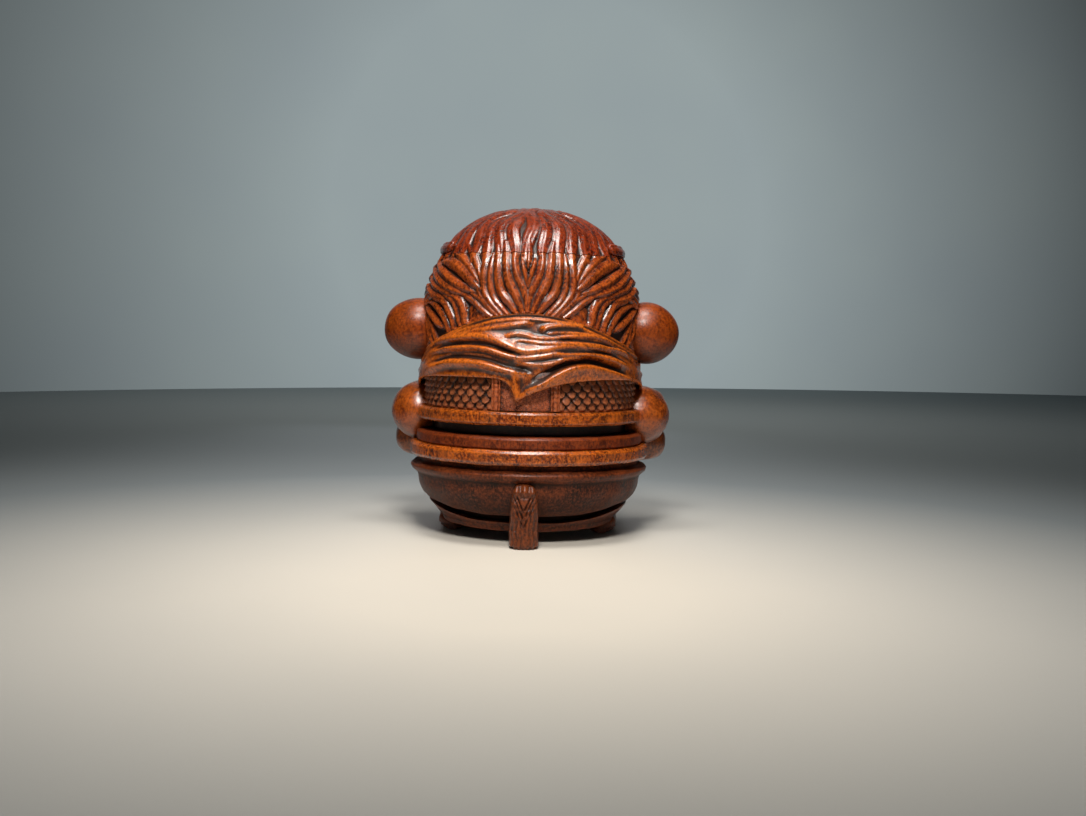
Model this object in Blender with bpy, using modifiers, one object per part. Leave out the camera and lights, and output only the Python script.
"""Squat carved wooden doll of the daruma kind, put together from turned and carved blocks on dowels.

Metres, +Z up. The doll faces -Y, its left side is +X, and the origin is on the floor under its middle.
"""
import math

import bmesh
import bpy
from mathutils import Matrix, Vector

MM = 0.001

# Driving dimensions.
HEIGHT = 50.0 * MM            # floor to the top of the crown
EAR_REACH = 23.1 * MM         # axis to the tip of an ear
HALF_DEPTH = 19.0 * MM        # axis to the toes, and to the back of the tassel
GAP = 0.3 * MM                # clearance at every joint

# How finely round work is faceted.
TURNED_STEPS = 48
LOFT_COLUMNS = 48

# Dowels.
SPINE_RADIUS = 1.6 * MM
EAR_PEG_RADIUS = 0.9 * MM
ARM_PEG_RADIUS = 0.9 * MM
HAND_PEG_RADIUS = 0.4 * MM
FOOT_PEG_RADIUS = 0.8 * MM
TASSEL_PEG_RADIUS = 0.7 * MM
BORE = SPINE_RADIUS + GAP
SPINE_DOWEL = (3.8 * MM, 22.0 * MM)       # levels of each dowel's ends
NECK_DOWEL = (22.3 * MM, 34.0 * MM)
CROWN_DOWEL = (36.5 * MM, 45.9 * MM)
CROWN_SOCKET_TOP = CROWN_DOWEL[1] + GAP
HEM_SOCKET_FLOOR = SPINE_DOWEL[0] - GAP

# Levels of the stacked blocks, from the floor up.
BASE_UNDERSIDE = 2.4 * MM
HEM_EDGE = 1.6 * MM
SLIT_LEVEL = 4.65 * MM        # lower edge of the skirt bowl, front and back
SLIT_RISE = 2.3 * MM          # how far that edge climbs at the sides
SLIT_HEIGHT = 1.15 * MM
SLIT_DEPTH = 1.6 * MM
HEM_CORE_TOP = 8.0 * MM
HEM_CLEAR_TOP = 9.0 * MM      # above the hem, where its clearances stop
BOWL_TOP = 11.7 * MM
SKIRT_BELT = (12.0 * MM, 13.85 * MM)
HIP_RING = (14.15 * MM, 15.75 * MM)
WAIST_BELT = (16.05 * MM, 19.3 * MM)
WAIST_NECK_TOP = 17.6 * MM    # the deep channel between waist belt and hip ring ends here
TORSO = (19.6 * MM, 25.6 * MM)
SHAWL_CEILING = TORSO[1] + GAP
HEAD_FLOOR = 27.5 * MM
CROWN_SEAM = 42.3 * MM

# Radii of the stacked blocks.
SKIRT_SIDE = 17.0 * MM        # bowl at mid height
SKIRT_BELT_RADIUS = 18.5 * MM
HIP_RADIUS = 17.5 * MM
WAIST_RADIUS = 17.4 * MM
WAIST_NECK_RADIUS = 14.9 * MM
TORSO_RADIUS = 16.4 * MM
PANEL_RADIUS = 16.8 * MM
SHAWL_INSIDE = PANEL_RADIUS + GAP
SHAWL_LIP_RADIUS = 17.8 * MM
TENON_RADIUS = 14.0 * MM      # the head's plug inside the shawl
EDGE_SOFTENING = 0.3 * MM
SHAWL_LIP_ROUNDING = 0.25 * MM

# Panels let into the torso.
PANEL_HALF_WIDTH = 4.85 * MM
PANEL_BACK = 14.9 * MM        # axis to the panel's flat inner face
PANEL_LEVELS = (19.9 * MM, 24.3 * MM)

# Outline of skirt and hem: radius, height, from the rim down.
SKIRT_OUTLINE = (
    (18.4 * MM, 10.3 * MM),
    (18.1 * MM, 9.8 * MM),
    (17.4 * MM, 9.2 * MM),
    (SKIRT_SIDE, 7.3 * MM),
    (16.1 * MM, 5.6 * MM),
    (14.6 * MM, 3.8 * MM),
    (13.4 * MM, 2.5 * MM),
)

# Rim of the skirt above that outline, and foot of the hem below it, from the top down.
RIM_OUTLINE = ((17.0 * MM, BOWL_TOP), (17.2 * MM, 11.0 * MM), (17.9 * MM, 10.5 * MM))
HEM_FOOT = ((12.9 * MM, HEM_EDGE), (12.2 * MM, HEM_EDGE), (11.4 * MM, BASE_UNDERSIDE))

# Outline of the crown: radius, height, from the top down.
CROWN_OUTLINE = (
    (0.0, HEIGHT),
    (4.2 * MM, 49.6 * MM),
    (7.2 * MM, 48.7 * MM),
    (9.8 * MM, 47.3 * MM),
    (11.8 * MM, 45.7 * MM),
    (13.2 * MM, 44.0 * MM),
    (14.2 * MM, CROWN_SEAM + GAP / 2),
)

# The head above the collar: share of the way up, half width, depth behind, depth in front.
HEAD_SECTIONS = (
    (0.00, 16.2 * MM, 16.1 * MM, 15.0 * MM),
    (0.15, 16.4 * MM, 15.9 * MM, 15.9 * MM),
    (0.35, 16.6 * MM, 15.7 * MM, 16.3 * MM),
    (0.55, 16.7 * MM, 15.5 * MM, 16.3 * MM),
    (0.70, 16.3 * MM, 15.3 * MM, 16.0 * MM),
    (0.86, 15.4 * MM, 14.9 * MM, 15.3 * MM),
    (1.00, 14.3 * MM, 14.3 * MM, 14.3 * MM),
)

# Nose: an egg shape sunk into the front of the head.
NOSE_MIDDLE = Vector((0.0, -15.9, 33.4)) * MM
NOSE_HALF_SIZE = Vector((1.5, 1.9, 2.1)) * MM

# Collar and lower edge of the shawl, and the corner of cloth that hangs down behind.
COLLAR_SIDE = 28.0 * MM
COLLAR_RISE_BACK = 5.5 * MM
COLLAR_DIP_FRONT = 0.4 * MM
LIP_BACK = 24.45 * MM
LIP_SIDE = 22.45 * MM
LIP_FRONT_RISE = 1.2 * MM
CORNER_X = 1.3 * MM
CORNER_DROP = 3.4 * MM
CORNER_STEEP_SIDE = 1.0 * MM
CORNER_SLOW_SIDE = 5.0 * MM

# Headband: its section, radius and height, and how far back its ends reach.
BAND_LEVELS = (42.65 * MM, 44.6 * MM)
BAND_END_Y = 6.0 * MM
BAND_SECTION = (
    (13.1 * MM, BAND_LEVELS[1]),
    (13.9 * MM, BAND_LEVELS[1]),
    (14.5 * MM, 44.0 * MM),
    (14.8 * MM, 43.15 * MM),
    (14.8 * MM, BAND_LEVELS[0]),
    (14.4 * MM, BAND_LEVELS[0]),
    (13.6 * MM, 44.0 * MM),
)

# Ears, arms and hands are egg shapes: middle and half sizes on the doll's left.
EAR_MIDDLE = Vector((17.7, -0.8, 31.1)) * MM
EAR_HALF_SIZE = Vector((EAR_REACH - EAR_MIDDLE.x, 4.6 * MM, 4.8 * MM))
ARM_MIDDLE = Vector((17.1, -2.2, 18.3)) * MM
ARM_HALF_SIZE = Vector((4.85, 5.8, 4.7)) * MM
HAND_MIDDLE = Vector((17.4, -6.4, 13.8)) * MM
HAND_HALF_SIZE = Vector((4.5, 4.1, 3.1)) * MM

# Pegs of ear and arm run across at one level, from one place in X to the other. The hand's peg slants.
EAR_PEG = (12.0 * MM, 20.4 * MM)
ARM_PEG = (12.6 * MM, 19.2 * MM)
ARM_PEG_LEVEL = 20.8 * MM
WRIST = Vector((18.9, -3.9, 16.7)) * MM
PALM = Vector((18.9, -7.5, 14.0)) * MM

# Shoe on the doll's left: place along Y, middle in X, half width and height of each section of its cage.
FOOT_SECTIONS = (
    (2.6 * MM, 11.6 * MM, 2.2 * MM, 2.6 * MM),
    (-2.0 * MM, 11.5 * MM, 2.7 * MM, 3.4 * MM),
    (-9.0 * MM, 11.2 * MM, 3.0 * MM, 4.2 * MM),
    (-15.5 * MM, 10.9 * MM, 3.9 * MM, 4.4 * MM),
    (-HALF_DEPTH - 0.4 * MM, 10.8 * MM, 3.0 * MM, 2.6 * MM),
)
FOOT_PEG = (10.2 * MM, -4.0 * MM)
FOOT_PEG_LEVELS = (0.9 * MM, 3.9 * MM)
SOLE_REACH = 30.0 * MM        # half width of the block that keeps a shoe above the floor
CAGE_BOTTOM = -2.0 * MM       # the cage reaches below the floor, where the sole is cut flat

# Tassel that hangs behind down to the floor: height, width and depth behind of each section.
TASSEL_SECTIONS = (
    (0.0, 4.4 * MM, HALF_DEPTH),
    (3.0 * MM, 4.2 * MM, HALF_DEPTH - 0.2 * MM),
    (6.5 * MM, 3.7 * MM, HALF_DEPTH - 0.2 * MM),
    (8.6 * MM, 3.6 * MM, HALF_DEPTH - 0.2 * MM),
    (9.4 * MM, 2.2 * MM, HALF_DEPTH - 0.9 * MM),
)
TASSEL_CORNER = 0.9 * MM
TASSEL_INSIDE = 14.8 * MM
TASSEL_PEG = (13.4 * MM, 18.1 * MM)
TASSEL_PEG_LEVEL = 7.4 * MM

FIGURE = "carved_doll"


def make_collection(name):
    collection = bpy.data.collections.new(name)
    bpy.context.scene.collection.children.link(collection)
    return collection


def make_wood(name, colour, roughness):
    material = bpy.data.materials.new(name)
    material.use_nodes = True
    shader = material.node_tree.nodes["Principled BSDF"]
    shader.inputs["Base Color"].default_value = (*colour, 1.0)
    shader.inputs["Roughness"].default_value = roughness
    shader.inputs["Metallic"].default_value = 0.0
    return material


def place(name, mesh, wood=None):
    """Link a mesh as a part, or as a cutter when it has no wood."""
    piece = bpy.data.objects.new(name, mesh)
    if wood is None:
        CUTTERS.objects.link(piece)
        piece.hide_render = True
        piece.display_type = "WIRE"
    else:
        PARTS.objects.link(piece)
        mesh.materials.append(wood)
    return piece


def mesh_from(bm, name):
    mesh = bpy.data.meshes.new(name)
    bm.to_mesh(mesh)
    bm.free()
    mesh.shade_smooth()
    mesh.set_sharp_from_angle(angle=math.radians(35))
    return mesh


def turned(name, outline, wood=None):
    """A block turned on the Z axis. The outline runs down the outside; off the axis it is closed into a ring."""
    mesh = bpy.data.meshes.new(name)
    count = len(outline)
    edges = [(i, i + 1) for i in range(count - 1)]
    if outline[0][0] > 0:
        edges.append((count - 1, 0))
    mesh.from_pydata([(radius, 0, height) for radius, height in outline], edges, [])
    piece = place(name, mesh, wood)
    screw = piece.modifiers.new("turning", "SCREW")
    screw.axis = "Z"
    screw.angle = math.tau
    screw.steps = TURNED_STEPS
    screw.render_steps = TURNED_STEPS
    screw.use_merge_vertices = True
    screw.merge_threshold = 0.00001
    screw.use_smooth_shade = True
    return piece


def lofted(name, column_at, wood=None):
    """A bored block whose closed section (radius, height) changes with the angle round the axis."""
    bm = bmesh.new()
    rings = []
    for step in range(LOFT_COLUMNS):
        angle = math.tau * step / LOFT_COLUMNS
        across, along = math.cos(angle), math.sin(angle)
        rings.append([bm.verts.new((r * across, r * along, z)) for r, z in column_at(angle)])
    rows = len(rings[0])
    for step in range(LOFT_COLUMNS):
        here, there = rings[step], rings[(step + 1) % LOFT_COLUMNS]
        for row in range(rows):
            below = (row + 1) % rows
            bm.faces.new((here[row], here[below], there[below], there[row]))
    return place(name, mesh_from(bm, name), wood)


def box(name, low, high, wood=None):
    bm = bmesh.new()
    size = Vector(high) - Vector(low)
    middle = (Vector(high) + Vector(low)) / 2
    bmesh.ops.create_cube(bm, size=1.0, matrix=Matrix.Translation(middle) @ Matrix.Diagonal((*size, 1.0)))
    return place(name, mesh_from(bm, name), wood)


def egg(name, middle, half_size, wood=None, around=24, along=14):
    bm = bmesh.new()
    matrix = Matrix.Translation(middle) @ Matrix.Diagonal((*half_size, 1.0))
    bmesh.ops.create_uvsphere(bm, u_segments=around, v_segments=along, radius=1.0, matrix=matrix)
    return place(name, mesh_from(bm, name), wood)


def rod(name, start, end, radius, wood=None, sides=12):
    start, end = Vector(start), Vector(end)
    bm = bmesh.new()
    turn = (end - start).to_track_quat("Z", "Y").to_matrix().to_4x4()
    bmesh.ops.create_cone(
        bm, cap_ends=True, segments=sides, radius1=radius, radius2=radius,
        depth=(end - start).length, matrix=Matrix.Translation((start + end) / 2) @ turn,
    )
    return place(name, mesh_from(bm, name), wood)


def carve(piece, cutter, operation="DIFFERENCE"):
    boolean = piece.modifiers.new(cutter.name, "BOOLEAN")
    boolean.operation = operation
    boolean.solver = "EXACT"
    boolean.object = cutter


def peg(name, start, end, radius, *blocks):
    """A peg between two points, and its socket in each block that it joins."""
    start, end = Vector(start), Vector(end)
    reach = (end - start).normalized() * GAP
    pin = rod(name, start, end, radius, DOWEL_WOOD)
    chamfer = pin.modifiers.new("chamfer", "BEVEL")
    chamfer.width = radius * 0.2
    chamfer.segments = 1
    chamfer.limit_method = "ANGLE"
    drill = rod(name + "_drill", start - reach, end + reach, radius + GAP)
    for block in blocks:
        carve(block, drill)


def mirrored(point, side):
    return Vector((point.x * side, point.y, point.z))


def slit_height(x):
    """Lower edge of the skirt bowl: level front and back, climbing towards the sides."""
    return SLIT_LEVEL + SLIT_RISE * (x / SKIRT_SIDE) ** 4


def above_slit(name, offset):
    """Everything above the slit line plus an offset, as a block with a curved underside."""
    reach, top, steps = 20 * MM, 16 * MM, 24
    outline = [(-reach + 2 * reach * i / steps) for i in range(steps + 1)]
    lower = [(x, min(slit_height(x) + offset, top - MM)) for x in outline]
    bm = bmesh.new()
    front = [bm.verts.new((x, -reach, z)) for x, z in lower]
    front += [bm.verts.new((x, -reach, top)) for x in reversed(outline)]
    face = bm.faces.new(front)
    pushed = bmesh.ops.extrude_face_region(bm, geom=[face])
    moved = [v for v in pushed["geom"] if isinstance(v, bmesh.types.BMVert)]
    bmesh.ops.translate(bm, vec=(0, 2 * reach, 0), verts=moved)
    bmesh.ops.recalc_face_normals(bm, faces=bm.faces)
    return place(name, mesh_from(bm, name))


def collar_height(angle):
    """Top edge of the shawl: high at the nape, low at the sides and under the chin."""
    back = math.sin(angle)
    if back > 0:
        return COLLAR_SIDE + COLLAR_RISE_BACK * back ** 2
    return COLLAR_SIDE - COLLAR_DIP_FRONT * back ** 2


def lip_height(angle):
    """Lower edge of the shawl, with the hanging corner of cloth behind."""
    back = math.sin(angle)
    if back <= 0:
        return LIP_SIDE + LIP_FRONT_RISE * back ** 2
    height = LIP_BACK - (LIP_BACK - LIP_SIDE) * (1 - back) ** 3
    offset = SHAWL_LIP_RADIUS * math.cos(angle) - CORNER_X
    spread = CORNER_STEEP_SIDE if offset > 0 else CORNER_SLOW_SIDE
    return height - CORNER_DROP * math.exp(-abs(offset) / spread) * back ** 4


def between(table, share, column):
    for lower, upper in zip(table, table[1:]):
        if share <= upper[0]:
            part = (share - lower[0]) / (upper[0] - lower[0])
            return lower[column] + part * (upper[column] - lower[column])
    return table[-1][column]


def head_radius(angle, share):
    """An oval section whose back and front halves differ in depth."""
    half_width = between(HEAD_SECTIONS, share, 1)
    depth = between(HEAD_SECTIONS, share, 2 if math.sin(angle) > 0 else 3)
    return 1 / math.hypot(math.cos(angle) / half_width, math.sin(angle) / depth)


def head_rows(angle, grow=0.0, rows=9):
    """Outside of the head from the crown seam down to the collar."""
    low = collar_height(angle) + GAP / 2
    high = CROWN_SEAM - GAP / 2
    column = []
    for row in range(rows):
        share = 1 - row / (rows - 1)
        height = low + share * (high - low)
        column.append((head_radius(angle, share) + grow, height))
    return column


def shawl_rows(angle, grow=0.0):
    """Outside of the shawl from the collar down to its lip, rounded like thick cloth."""
    top = collar_height(angle) - GAP / 2
    low = lip_height(angle)
    start = head_radius(angle, 0.0) - GAP
    column = []
    for share in (0.0, 0.12, 0.35, 0.6, 0.85, 1.0):
        swell = math.sin(share * math.pi / 2) ** 0.7
        radius = start + (SHAWL_LIP_RADIUS - start) * swell
        if share == 1.0:
            radius -= SHAWL_LIP_ROUNDING
        column.append((radius + grow, top - share * (top - low)))
    return column


def head_column(angle):
    """Bore, outside, then the plug that sits in the shawl."""
    outside = head_rows(angle)
    ledge = outside[-1][1]
    plug = [(TENON_RADIUS, ledge), (TENON_RADIUS, HEAD_FLOOR)]
    return [(BORE, outside[0][1])] + outside + plug + [(BORE, HEAD_FLOOR)]


def shawl_column(angle):
    """Dish for the head, outside, then the hollow that fits over the torso."""
    outside = shawl_rows(angle)
    dish = HEAD_FLOOR - GAP
    hollow = [
        (SHAWL_INSIDE, outside[-1][1]),
        (SHAWL_INSIDE, TORSO[1] - MM),
        (SHAWL_INSIDE - MM, SHAWL_CEILING),
    ]
    rim = [(BORE, dish), (TENON_RADIUS + GAP, dish), (TENON_RADIUS + GAP, outside[0][1])]
    return rim + outside + hollow + [(BORE, SHAWL_CEILING)]


def figure_column(angle):
    """Outside of head and shawl together, one joint gap larger: what the ears must clear."""
    outside = head_rows(angle, GAP) + shawl_rows(angle, GAP)
    return [(BORE, outside[0][1])] + outside + [(BORE, outside[-1][1])]


def belt(name, levels, radius, wood, neck=None):
    """A bored disc with softened edges, and a narrower neck under it if a radius and level are given."""
    low, high = levels
    soft = EDGE_SOFTENING
    foot = neck[1] if neck else low
    outline = [(BORE, high), (radius - soft, high), (radius, high - soft), (radius, foot + soft)]
    outline.append((radius - soft, foot))
    if neck:
        outline += [(neck[0], foot), (neck[0], low)]
    outline.append((BORE, low))
    return turned(name, outline, wood)


def make_crown():
    outline = list(CROWN_OUTLINE)
    outline += [(BORE, CROWN_OUTLINE[-1][1]), (BORE, CROWN_SOCKET_TOP), (0.0, CROWN_SOCKET_TOP)]
    return turned("crown_cap", outline, RED_WOOD)


def make_head():
    head = lofted("head", head_column, POLISHED_WOOD)
    carve(head, egg("nose_form", NOSE_MIDDLE, NOSE_HALF_SIZE, around=14, along=10), "UNION")
    return head


def make_headband():
    low, high = BAND_LEVELS
    band = turned("headband", BAND_SECTION, POLISHED_WOOD)
    side = HALF_DEPTH + MM
    carve(band, box("front_half", (-side, -side, low - MM), (side, BAND_END_Y, high + MM)), "INTERSECT")


def make_torso():
    low, high = TORSO
    outline = (
        (BORE, high),
        (TORSO_RADIUS - MM, high),
        (TORSO_RADIUS, high - MM),
        (TORSO_RADIUS, low),
        (BORE, low),
    )
    return turned("torso", outline, SATIN_WOOD)


def make_panel(name, side, torso):
    """A curved plate with a flat inner face, in a pocket cut into the torso."""
    low, high = PANEL_LEVELS
    inner, outer = sorted((side * PANEL_BACK, side * HALF_DEPTH))
    plate = turned(name, ((BORE, high), (PANEL_RADIUS, high), (PANEL_RADIUS, low), (BORE, low)), SATIN_WOOD)
    keep = box(name + "_keep", (-PANEL_HALF_WIDTH, inner, low - MM), (PANEL_HALF_WIDTH, outer, high + MM))
    carve(plate, keep, "INTERSECT")
    inner, outer = sorted((side * (PANEL_BACK - GAP), side * HALF_DEPTH))
    wide = PANEL_HALF_WIDTH + GAP
    pocket = box(name + "_pocket", (-wide, inner, low - GAP), (wide, outer, high + GAP))
    carve(torso, pocket)


def make_bowl():
    outline = [(BORE, BOWL_TOP)] + list(RIM_OUTLINE) + list(SKIRT_OUTLINE[:-1])
    outline.append((BORE, SKIRT_OUTLINE[-2][1]))
    bowl = turned("skirt_bowl", outline, SATIN_WOOD)
    carve(bowl, above_slit("bowl_keep", 0.0), "INTERSECT")
    return bowl


def make_base():
    """Hem block: its rim follows the slit, and its core rises behind the slit to meet the bowl."""
    outline = [(0.0, HEM_SOCKET_FLOOR), (BORE, HEM_SOCKET_FLOOR), (BORE, HEM_CORE_TOP), (SKIRT_SIDE, HEM_CORE_TOP)]
    outline += list(SKIRT_OUTLINE[3:]) + list(HEM_FOOT)
    outline.append((0.0, BASE_UNDERSIDE))
    base = turned("hem_base", outline, SATIN_WOOD)
    carve(base, above_slit("base_top", -GAP))
    core = [(radius - SLIT_DEPTH, height) for radius, height in SKIRT_OUTLINE[3:]]
    wide = HALF_DEPTH + MM
    ring = [(SKIRT_SIDE - SLIT_DEPTH, HEM_CLEAR_TOP), (wide, HEM_CLEAR_TOP), (wide, core[-1][1])]
    groove = turned("slit_groove", ring + list(reversed(core)))
    carve(groove, above_slit("slit_keep", -SLIT_HEIGHT), "INTERSECT")
    carve(base, groove)
    return base


def make_tassel():
    """A post that widens to the floor, shaped to the skirt behind it."""
    bm = bmesh.new()
    loops = []
    for height, width, back in TASSEL_SECTIONS:
        half = width / 2
        corner = min(TASSEL_CORNER, half * 0.6)
        points = (
            (-half, TASSEL_INSIDE),
            (half, TASSEL_INSIDE),
            (half, back - corner),
            (half - corner * 0.3, back - corner * 0.3),
            (half - corner, back),
            (corner - half, back),
            (corner * 0.3 - half, back - corner * 0.3),
            (-half, back - corner),
        )
        loops.append([bm.verts.new((x, y, height)) for x, y in points])
    for lower, upper in zip(loops, loops[1:]):
        count = len(lower)
        for i in range(count):
            j = (i + 1) % count
            bm.faces.new((lower[i], lower[j], upper[j], upper[i]))
    bm.faces.new(list(reversed(loops[0])))
    bm.faces.new(loops[-1])
    tassel = place("tassel", mesh_from(bm, "tassel"), SATIN_WOOD)
    clear = [(BORE, SKIRT_OUTLINE[0][1])]
    clear += [(radius + GAP, height) for radius, height in SKIRT_OUTLINE]
    clear.append((BORE, SKIRT_OUTLINE[-1][1]))
    carve(tassel, turned("skirt_clearance", clear))
    return tassel


def make_foot(side_name, side, base):
    """A shoe with a flat sole, let in under the hem block."""
    bm = bmesh.new()
    loops = []
    for y, middle, half, top in FOOT_SECTIONS:
        corners = ((-half, CAGE_BOTTOM), (half, CAGE_BOTTOM), (half, top), (-half, top))
        loops.append([bm.verts.new((side * middle + x, y, z)) for x, z in corners])
    for rear, front in zip(loops, loops[1:]):
        for i in range(4):
            j = (i + 1) % 4
            bm.faces.new((rear[i], rear[j], front[j], front[i]))
    bm.faces.new(list(reversed(loops[0])))
    bm.faces.new(loops[-1])
    bmesh.ops.recalc_face_normals(bm, faces=bm.faces)
    name = side_name + "_foot"
    foot = place(name, mesh_from(bm, name), SATIN_WOOD)
    rounding = foot.modifiers.new("rounding", "SUBSURF")
    rounding.levels = 2
    rounding.render_levels = 2
    carve(foot, SOLE_KEEP, "INTERSECT")
    carve(foot, HEM_CLEARANCE)
    x, y = FOOT_PEG[0] * side, FOOT_PEG[1]
    start, end = [(x, y, level) for level in FOOT_PEG_LEVELS]
    peg(side_name + "_foot_dowel", start, end, FOOT_PEG_RADIUS, foot, base)


def make_ear(side_name, side, head):
    middle = mirrored(EAR_MIDDLE, side)
    ear = egg(side_name + "_ear", middle, EAR_HALF_SIZE, POLISHED_WOOD)
    carve(ear, FIGURE_CLEARANCE)
    start, end = [(x * side, middle.y, middle.z) for x in EAR_PEG]
    peg(side_name + "_ear_peg", start, end, EAR_PEG_RADIUS, ear, head)


def make_arm(side_name, side, torso):
    """Upper arm against the torso, and the fist below and in front of it."""
    middle = mirrored(ARM_MIDDLE, side)
    arm = egg(side_name + "_arm", middle, ARM_HALF_SIZE, POLISHED_WOOD)
    carve(arm, BODY_CLEARANCE)
    hand = egg(side_name + "_hand", mirrored(HAND_MIDDLE, side), HAND_HALF_SIZE, POLISHED_WOOD, 20, 12)
    carve(hand, BODY_CLEARANCE)
    grown = ARM_HALF_SIZE + Vector((GAP, GAP, GAP))
    carve(hand, egg(side_name + "_wrist_clearance", middle, grown))
    start, end = [(x * side, middle.y, ARM_PEG_LEVEL) for x in ARM_PEG]
    peg(side_name + "_arm_peg", start, end, ARM_PEG_RADIUS, arm, torso)
    peg(side_name + "_hand_peg", mirrored(WRIST, side), mirrored(PALM, side), HAND_PEG_RADIUS, arm, hand)


def make_body_clearance():
    """Steps of the belts and torso, one joint gap larger: what arms and hands must clear."""
    outline = (
        (BORE, COLLAR_SIDE),
        (SHAWL_LIP_RADIUS + GAP, COLLAR_SIDE),
        (SHAWL_LIP_RADIUS + GAP, LIP_SIDE - GAP),
        (TORSO_RADIUS + GAP, LIP_SIDE - GAP),
        (TORSO_RADIUS + GAP, WAIST_BELT[1] + GAP),
        (HIP_RADIUS + GAP, WAIST_BELT[1] + GAP),
        (HIP_RADIUS + GAP, SKIRT_BELT[1] + GAP),
        (SKIRT_BELT_RADIUS + GAP, SKIRT_BELT[1] + GAP),
        (SKIRT_BELT_RADIUS + GAP, HEM_CORE_TOP),
        (BORE, HEM_CORE_TOP),
    )
    return turned("body_clearance", outline)


def make_hem_clearance():
    outline = [(BORE, HEM_CLEAR_TOP), (SKIRT_OUTLINE[2][0] + GAP, HEM_CLEAR_TOP)]
    outline += [(radius + GAP, height) for radius, height in SKIRT_OUTLINE[3:]]
    outer, middle, inner = HEM_FOOT
    outline += [
        (outer[0] + GAP, outer[1] - GAP),
        (middle[0] - GAP, middle[1] - GAP),
        (inner[0] - GAP, inner[1] - GAP),
        (BORE, inner[1] - GAP),
    ]
    return turned("hem_clearance", outline)


for leftover in list(bpy.data.objects):
    bpy.data.objects.remove(leftover)

PARTS = make_collection(FIGURE)
CUTTERS = make_collection(FIGURE + "_cutters")

POLISHED_WOOD = make_wood("polished_boxwood", (0.42, 0.11, 0.02), 0.35)
SATIN_WOOD = make_wood("satin_boxwood", (0.21, 0.06, 0.018), 0.5)
RED_WOOD = make_wood("red_stained_boxwood", (0.34, 0.06, 0.02), 0.35)
DOWEL_WOOD = make_wood("bare_dowel_wood", (0.55, 0.38, 0.2), 0.6)

BODY_CLEARANCE = make_body_clearance()
HEM_CLEARANCE = make_hem_clearance()
FIGURE_CLEARANCE = lofted("figure_clearance", figure_column)
SOLE_KEEP = box("sole_keep", (-SOLE_REACH, -SOLE_REACH, 0.0), (SOLE_REACH, SOLE_REACH, SOLE_REACH))

make_crown()
make_headband()
head_block = make_head()
lofted("shawl", shawl_column, POLISHED_WOOD)
torso_block = make_torso()
make_panel("back_panel", 1, torso_block)
make_panel("chest_panel", -1, torso_block)
belt("waist_belt", WAIST_BELT, WAIST_RADIUS, POLISHED_WOOD, (WAIST_NECK_RADIUS, WAIST_NECK_TOP))
belt("hip_ring", HIP_RING, HIP_RADIUS, SATIN_WOOD)
belt("skirt_belt", SKIRT_BELT, SKIRT_BELT_RADIUS, POLISHED_WOOD)
bowl_block = make_bowl()
base_block = make_base()
tassel_block = make_tassel()

for side_word, sign in (("left", 1), ("right", -1)):
    make_ear(side_word, sign, head_block)
    make_arm(side_word, sign, torso_block)
    make_foot(side_word, sign, base_block)

tassel_peg_ends = [(0, y, TASSEL_PEG_LEVEL) for y in TASSEL_PEG]
peg("tassel_peg", *tassel_peg_ends, TASSEL_PEG_RADIUS, bowl_block, tassel_block)
for dowel_name, (foot_level, top_level) in (
    ("spine_dowel", SPINE_DOWEL),
    ("neck_dowel", NECK_DOWEL),
    ("crown_dowel", CROWN_DOWEL),
):
    peg(dowel_name, (0, 0, foot_level), (0, 0, top_level), SPINE_RADIUS)
